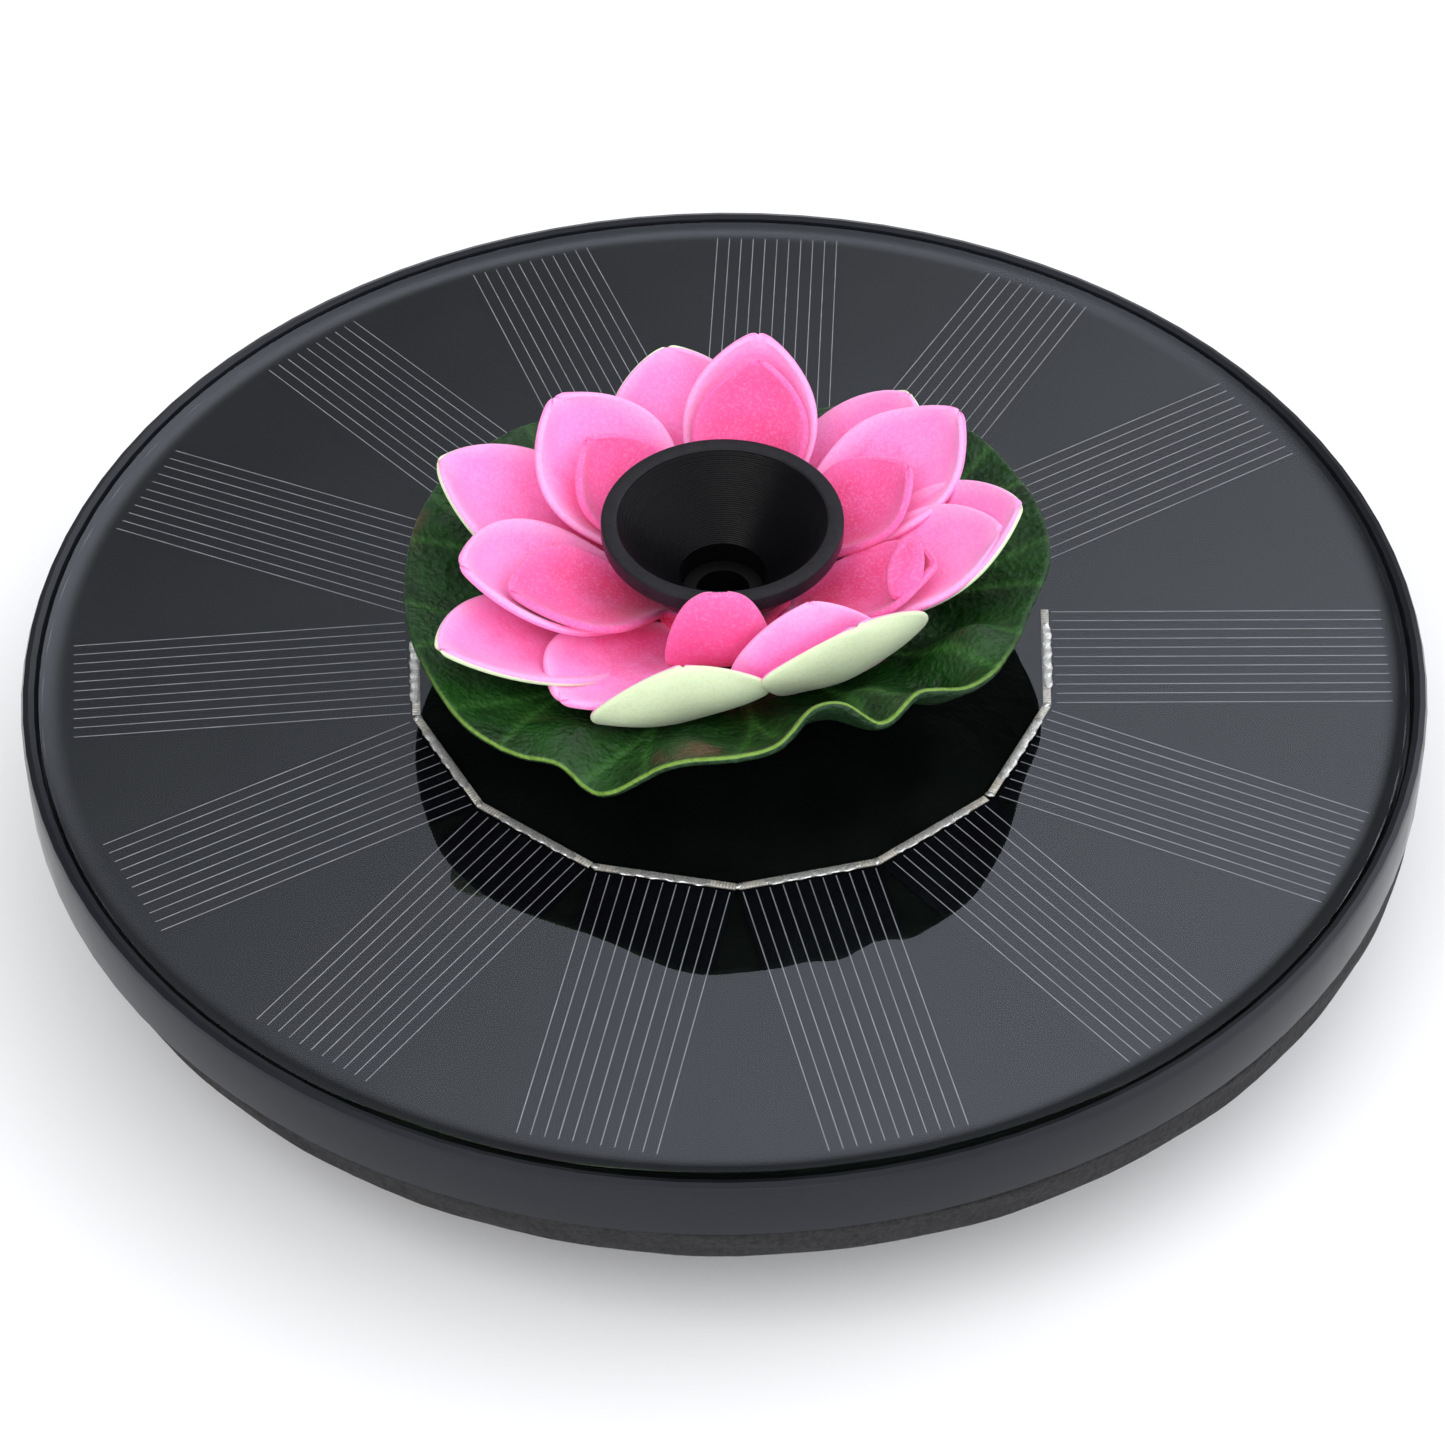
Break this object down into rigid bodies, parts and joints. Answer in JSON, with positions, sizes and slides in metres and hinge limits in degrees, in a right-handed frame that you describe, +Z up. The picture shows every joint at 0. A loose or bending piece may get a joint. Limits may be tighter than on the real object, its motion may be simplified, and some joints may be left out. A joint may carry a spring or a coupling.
{
  "type": "floating solar fountain pump",
  "caption": "Round floating solar panel with a submersible pump and strainer below, and a foam lotus round a cone-shaped nozzle cup on top.",
  "frame": {"origin": "middle of the strainer's base, the flat face that the object stands on, on the axis of the tray and the water spout", "axes": "+Z up along the spout, -Y towards the viewer, +X to the viewer's right along the pump's rotor axis"},
  "size_m": [0.18, 0.18, 0.0611],
  "materials": {
    "tray_black": "gloss",
    "pump_black": "satin",
    "nozzle_black": "satin",
    "board_black": "matte",
    "driver_green": "satin",
    "silicon": "gloss",
    "tinned_ribbon": "satin",
    "clear_epoxy": "gloss",
    "charcoal_foam": "matte",
    "black_rubber": "matte",
    "steel": "satin",
    "copper_wire": "satin",
    "ferrite_magnet": "satin",
    "ceramic": "satin",
    "leaf_green": "satin",
    "outer_pink": "matte",
    "middle_pink": "matte",
    "inner_pink": "matte"
  },
  "bodies": {
    "float": {"float_housing": "tray_black", "backing_board": "board_black", "epoxy_cover": "clear_epoxy", "solar_cell_01": "silicon", "solar_cell_02": "silicon", "solar_cell_03": "silicon", "solar_cell_04": "silicon", "solar_cell_05": "silicon", "solar_cell_06": "silicon", "solar_cell_07": "silicon", "solar_cell_08": "silicon", "solar_cell_09": "silicon", "solar_cell_10": "silicon", "solar_cell_11": "silicon", "solar_cell_12": "silicon", "solar_cell_13": "silicon", "solar_cell_14": "silicon", "ribbon_01": "tinned_ribbon", "ribbon_02": "tinned_ribbon", "ribbon_03": "tinned_ribbon", "ribbon_04": "tinned_ribbon", "ribbon_05": "tinned_ribbon", "ribbon_06": "tinned_ribbon", "ribbon_07": "tinned_ribbon", "ribbon_08": "tinned_ribbon", "ribbon_09": "tinned_ribbon", "ribbon_10": "tinned_ribbon", "ribbon_11": "tinned_ribbon", "ribbon_12": "tinned_ribbon", "ribbon_13": "tinned_ribbon", "ribbon_14": "tinned_ribbon", "foam_float_ring": "charcoal_foam", "outlet_seal": "black_rubber", "motor_pot": "pump_black", "stator_core": "steel", "stator_coil_upper": "copper_wire", "stator_coil_lower": "copper_wire", "driver_board": "driver_green", "motor_end_cap": "pump_black", "pump_chamber": "pump_black", "inlet_cover": "pump_black", "cover_seal_ring": "black_rubber", "front_bush": "black_rubber", "rear_bush": "black_rubber", "rotor_shaft": "ceramic", "pump_strap": "pump_black", "strap_screw_1": "steel", "strap_screw_2": "steel", "panel_lead": "black_rubber"},
    "rotor": {"rotor_magnet": "ferrite_magnet", "impeller": "pump_black"},
    "riser": {"riser_pipe": "nozzle_black"},
    "flower": {"lotus_leaf": "leaf_green", "petal_layer_outer": "outer_pink", "petal_layer_middle": "middle_pink", "petal_layer_inner": "inner_pink"},
    "nozzle": {"nozzle_cup": "nozzle_black"},
    "strainer": {"strainer_cover": "pump_black"}
  },
  "joints": [
    {"name": "rotor_spin", "type": "hinge", "parent": "float", "child": "rotor", "pos_m": [0, 0, 0.0127], "axis": [1, 0, 0], "continuous": true},
    {"name": "riser_lift", "type": "slide", "parent": "float", "child": "riser", "axis": [0, 0, 1], "range_m": [0, 0.015]},
    {"name": "flower_lift", "type": "slide", "parent": "riser", "child": "flower", "axis": [0, 0, 1], "range_m": [0, 0.02]},
    {"name": "nozzle_lift", "type": "slide", "parent": "flower", "child": "nozzle", "axis": [0, 0, 1], "range_m": [0, 0.025]},
    {"name": "strainer_pull", "type": "slide", "parent": "float", "child": "strainer", "axis": [0, 0, -1], "range_m": [0, 0.03]}
  ]
}
